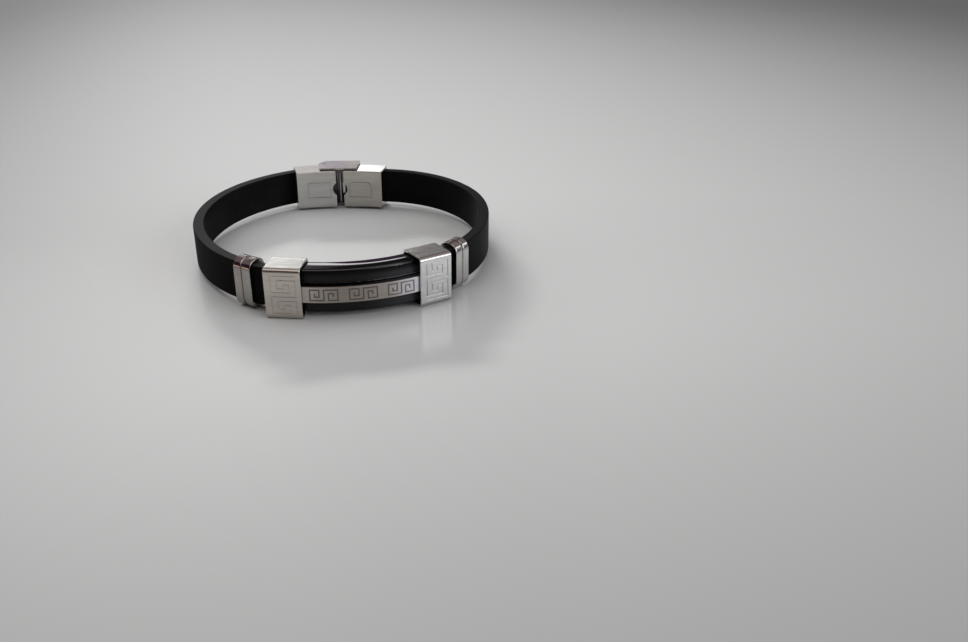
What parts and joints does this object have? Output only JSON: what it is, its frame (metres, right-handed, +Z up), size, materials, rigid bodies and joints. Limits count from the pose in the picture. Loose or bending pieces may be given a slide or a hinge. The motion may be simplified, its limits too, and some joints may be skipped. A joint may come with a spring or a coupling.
{
  "type": "rubber bracelet",
  "caption": "Closed rubber strap bracelet with a curved black bar, a steel strip and sleeves with key pattern, ridge bands and a hinged steel clasp, lying on its edge.",
  "frame": {"origin": "middle of the bracelet's bounding box, at the surface it lies on", "axes": "+Z up, across the strap's width; -Y towards the bar, +Y towards the clasp, +X along the bar"},
  "size_m": [0.072, 0.0806, 0.0115],
  "materials": {
    "black_silicone": "matt",
    "black_plating": "black plated steel, glossy on the edges and satin on the face",
    "satin_steel": "fine satin",
    "polished_steel": "polished steel"
  },
  "bodies": {
    "bracelet": {"bar": "black_plating", "strip": "satin_steel", "sleeve_right": "satin_steel", "sleeve_left": "satin_steel", "strap_right": "black_silicone", "strap_left": "black_silicone", "ridge_band_right": "polished_steel", "ridge_band_left": "polished_steel", "clasp_cap_right": "satin_steel", "clasp_cap_left": "satin_steel", "hinge_pin": "satin_steel", "catch_pin": "satin_steel"},
    "clasp_cover": {"clasp_cover": "satin_steel"}
  },
  "joints": [
    {"name": "clasp_cover_hinge", "type": "hinge", "parent": "bracelet", "child": "clasp_cover", "pos_m": [-0.0011, 0.03721, 0], "axis": [0, 0, 1], "range_deg": [0, 90]}
  ]
}
